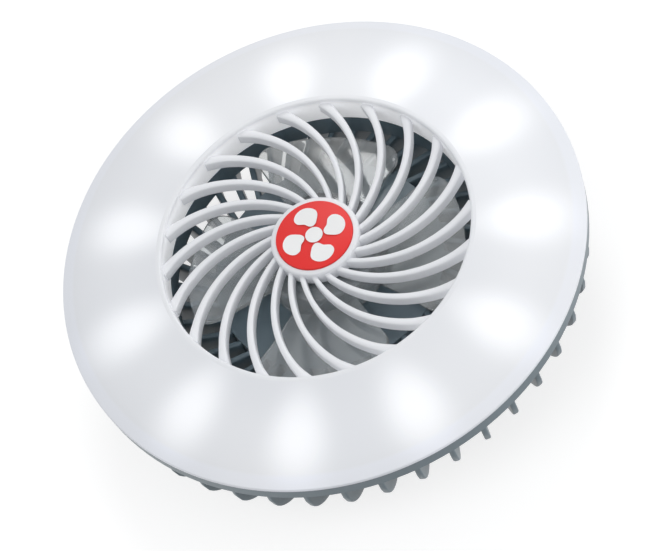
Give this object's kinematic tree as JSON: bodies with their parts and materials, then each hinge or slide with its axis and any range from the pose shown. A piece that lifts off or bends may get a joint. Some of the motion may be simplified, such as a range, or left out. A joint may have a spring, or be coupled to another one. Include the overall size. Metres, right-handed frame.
{
  "type": "portable camping fan",
  "caption": "Round portable camping fan with a domed ring lamp, swirling grille, clear rotor, finned back, battery hub, folding hook, two buttons and a charging port with a flap.",
  "frame": {"origin": "on the floor plane, under the centre of the fan, level with the rim of the rear cover that it stands on", "axes": "+Z along the rotor's shaft, out of the lit front face; +X from the axis towards the two buttons and the charging port; +Y along the folded hook"},
  "size_m": [0.2, 0.2, 0.0554],
  "materials": {
    "lamp_cover": "milky white, softly glossy, lit from behind by the chips",
    "white_plastic": "white, very finely grained",
    "slate_plastic": "slate grey, finely grained moulding",
    "red_badge": "bright red, satin",
    "clear_plastic": "clear, slightly smoky",
    "hook_plastic": "slate grey, tough nylon",
    "soft_button": "grey, soft touch",
    "flap_rubber": "slate grey, soft",
    "white_board": "white lacquered circuit board",
    "green_board": "green lacquered circuit board",
    "chip_phosphor": "yellowish phosphor in a white package",
    "black_parts": "black moulded packages",
    "steel": "bright zinc-plated steel",
    "magnet": "dark ferrite",
    "armature": "laminated steel with copper windings",
    "nylon": "natural nylon",
    "bronze": "sintered bronze",
    "tinned": "tinned brass",
    "cell_wrap": "blue shrink-wrapped cells",
    "nickel": "nickel strip",
    "foam": "black closed-cell foam"
  },
  "bodies": {
    "housing": {"back_shell": "slate_plastic", "back_fins": "slate_plastic", "battery_housing": "slate_plastic", "rear_cover": "slate_plastic", "diffuser_ring": "lamp_cover", "front_grille": "white_plastic", "hub_badge": "red_badge", "led_board": "white_board", "led_chips": "chip_phosphor", "cover_screws": "steel", "motor_can": "steel", "motor_end_cap": "nylon", "motor_terminals": "tinned", "motor_bush": "bronze", "motor_magnet": "magnet", "battery_cells": "cell_wrap", "cell_tabs": "nickel", "cell_pad": "foam", "hook_pin": "steel", "control_board": "green_board", "board_parts": "black_parts", "switch_bodies": "black_parts", "usb_socket": "steel", "flap_anchor": "flap_rubber"},
    "rotor": {"rotor": "clear_plastic", "motor_shaft": "steel", "motor_armature": "armature"},
    "hook": {"hanging_hook": "hook_plastic"},
    "fan_button": {"fan_button": "soft_button", "fan_plunger": "black_parts"},
    "light_button": {"light_button": "soft_button", "light_plunger": "black_parts"},
    "flap": {"port_flap": "flap_rubber"}
  },
  "joints": [
    {"name": "rotor_spin", "type": "hinge", "parent": "housing", "child": "rotor", "pos_m": [0, 0, 0.0447], "axis": [0, 0, 1], "continuous": true},
    {"name": "hook_fold", "type": "hinge", "parent": "housing", "child": "hook", "pos_m": [0, 0, 0.0045], "axis": [-1, 0, 0], "range_deg": [0, 90]},
    {"name": "fan_button_press", "type": "slide", "parent": "housing", "child": "fan_button", "axis": [0, 0, 1], "range_m": [0, 0.0007], "stiffness_N_per_m": 800, "springref_m": -0.001},
    {"name": "light_button_press", "type": "slide", "parent": "housing", "child": "light_button", "axis": [0, 0, 1], "range_m": [0, 0.0007], "stiffness_N_per_m": 800, "springref_m": -0.001},
    {"name": "port_flap_swing", "type": "hinge", "parent": "housing", "child": "flap", "pos_m": [0.04375, -0.0075, 0.0133], "axis": [0, 0, -1], "range_deg": [0, 100]}
  ]
}
